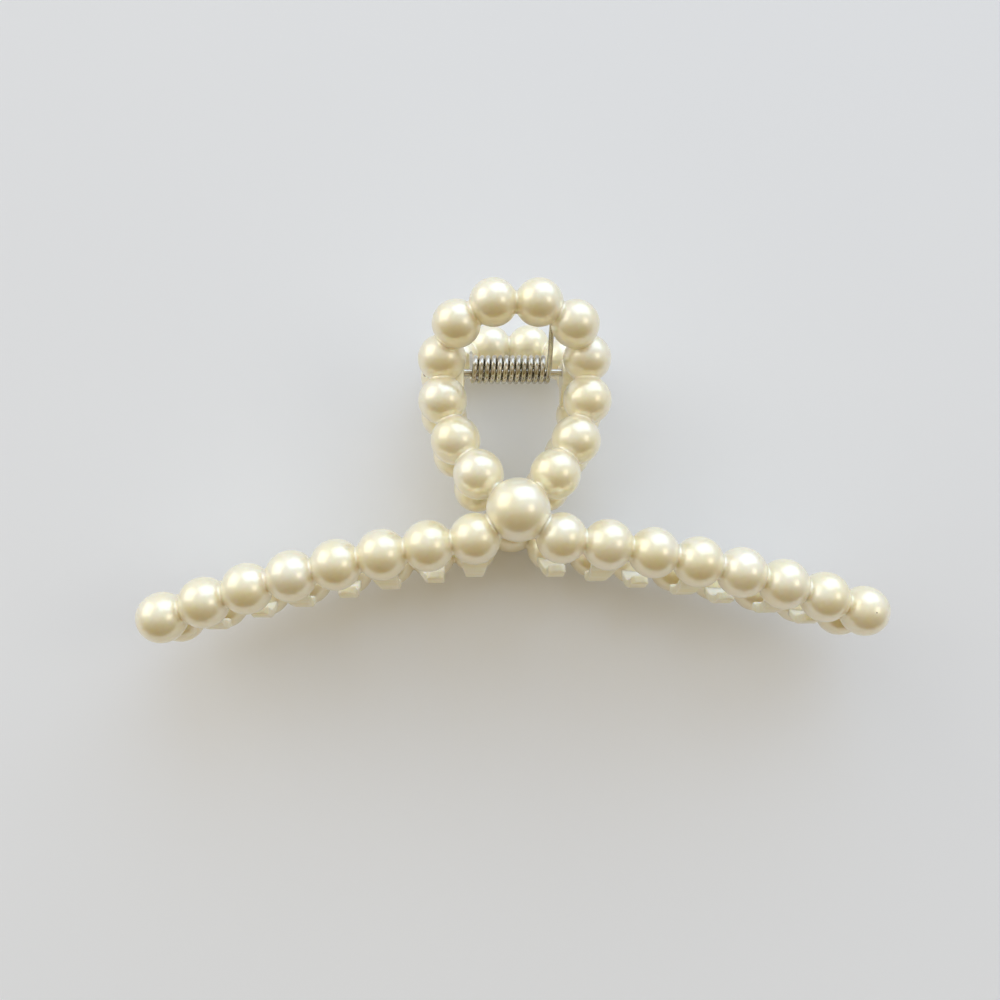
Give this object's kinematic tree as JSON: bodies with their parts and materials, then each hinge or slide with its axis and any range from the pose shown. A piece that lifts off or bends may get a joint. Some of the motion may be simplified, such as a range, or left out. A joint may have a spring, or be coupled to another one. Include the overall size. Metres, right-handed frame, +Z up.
{
  "type": "claw clip",
  "caption": "Spring-closed hair claw of pearl beads: two ribbon-shaped jaws with interleaving curved teeth turn on one steel pin.",
  "frame": {"origin": "centre of the bottom of the clip's box, on the surface it lies on, closed, rear jaw down", "axes": "+X along the arms, to the right seen from above; +Y towards the handle loops; +Z up, out of the front jaw. The hinge axis runs along X."},
  "size_m": [0.1102, 0.052, 0.0312],
  "materials": {
    "pearl": "pearl lacquer, high gloss",
    "pearl_teeth": "thin pearl lacquer over translucent cream plastic",
    "steel": "nickel plated, drawn",
    "spring_steel": "nickel plated wire, bright"
  },
  "bodies": {
    "rear_jaw": {"rear_handle_loop": "pearl", "rear_centre_bead": "pearl", "rear_left_arm": "pearl", "rear_right_arm": "pearl", "rear_left_teeth": "pearl_teeth", "rear_right_teeth": "pearl_teeth", "rear_hinge_lugs": "pearl_teeth", "hinge_pin": "steel", "torsion_spring": "spring_steel"},
    "front_jaw": {"front_handle_loop": "pearl", "front_centre_bead": "pearl", "front_left_arm": "pearl", "front_right_arm": "pearl", "front_left_teeth": "pearl_teeth", "front_right_teeth": "pearl_teeth", "front_hinge_lugs": "pearl_teeth"}
  },
  "joints": [
    {"name": "jaw_hinge", "type": "hinge", "parent": "rear_jaw", "child": "front_jaw", "pos_m": [0, 0.01498, 0.0156], "axis": [-1, 0, 0], "range_deg": [0, 75], "stiffness_Nm_per_rad": 0.08, "springref_deg": -28.65, "deforming": ["torsion_spring"]}
  ]
}
